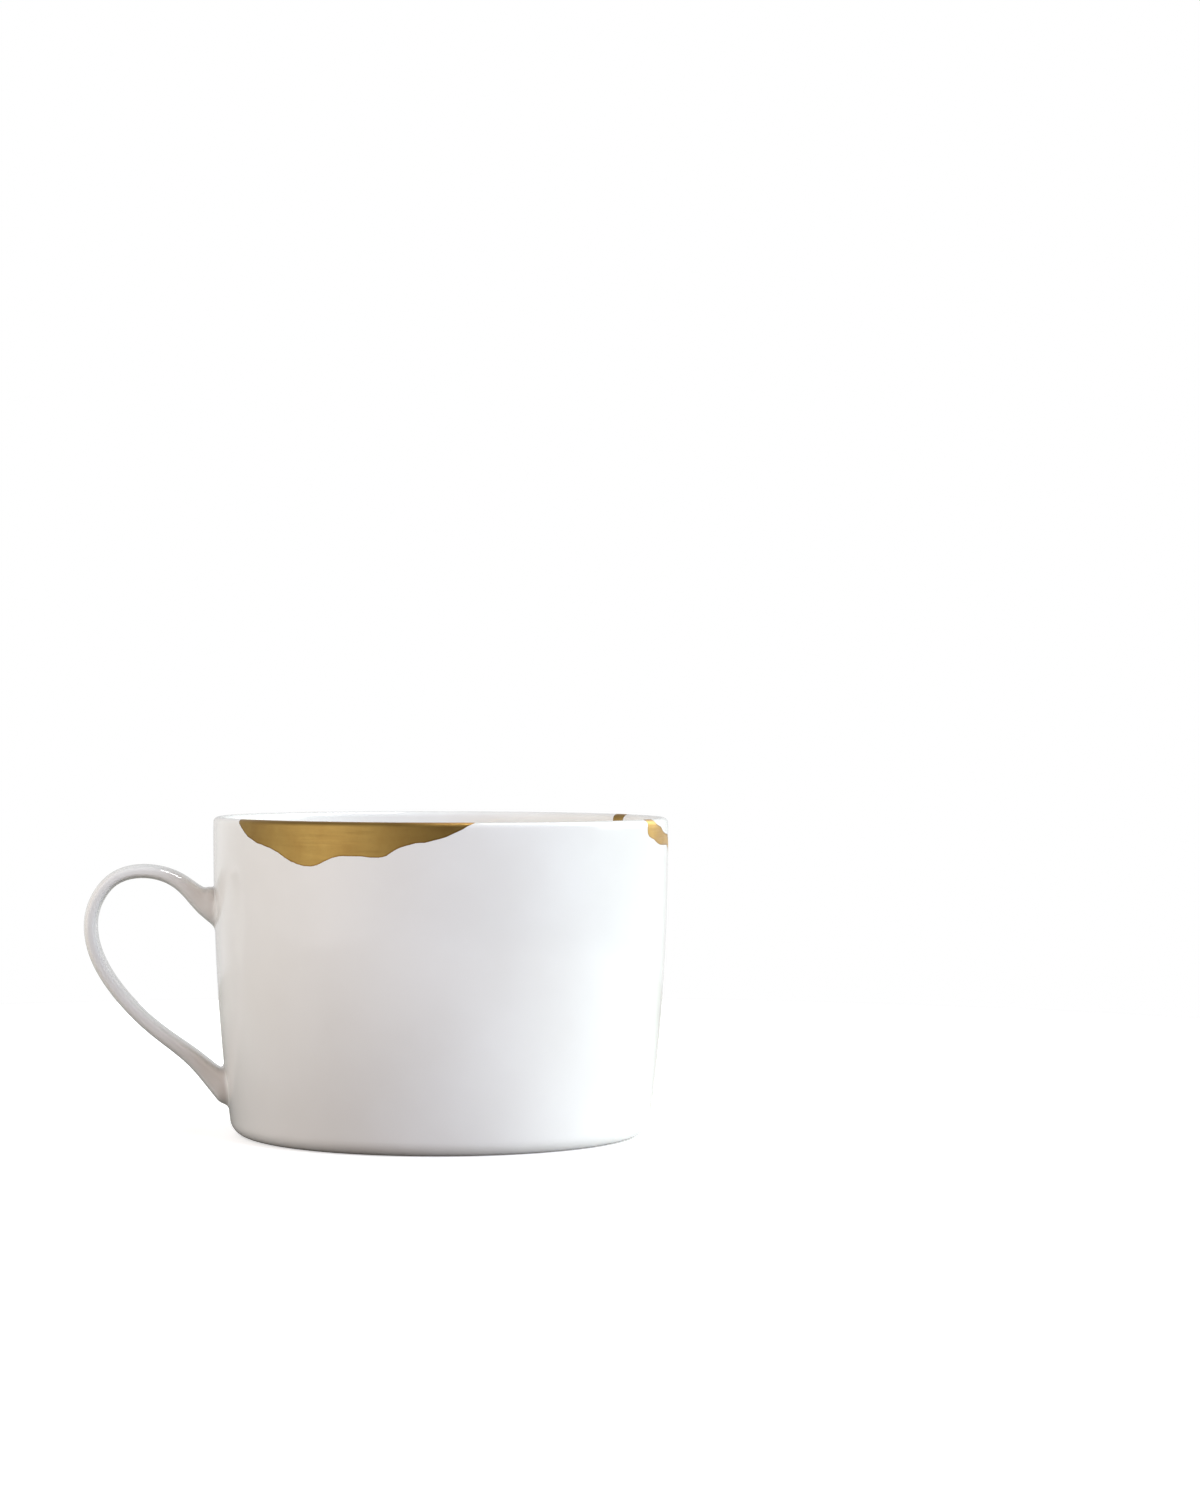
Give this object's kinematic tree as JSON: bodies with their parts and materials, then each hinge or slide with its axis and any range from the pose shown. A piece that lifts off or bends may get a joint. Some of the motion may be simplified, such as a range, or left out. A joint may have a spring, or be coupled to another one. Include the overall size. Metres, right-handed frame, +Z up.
{
  "type": "kintsugi tea cup",
  "caption": "Low white porcelain tea cup with a thin ear-shaped handle and broken rim areas and cracks repaired in gold, hollow and open at the top",
  "frame": {"origin": "on the surface it stands on, under the middle of the whole outline; the cup's own axis is 11.4 mm from it toward +X", "axes": "+Z up; +X away from the handle, along the longest extent; -Y is the side with the large gold repair"},
  "size_m": [0.1048, 0.082, 0.057],
  "materials": {
    "glazed_porcelain": "gloss",
    "gold_repair": "satin",
    "bare_foot": "matte"
  },
  "bodies": {
    "root": {"tea_cup": "glazed_porcelain"}
  },
  "joints": []
}
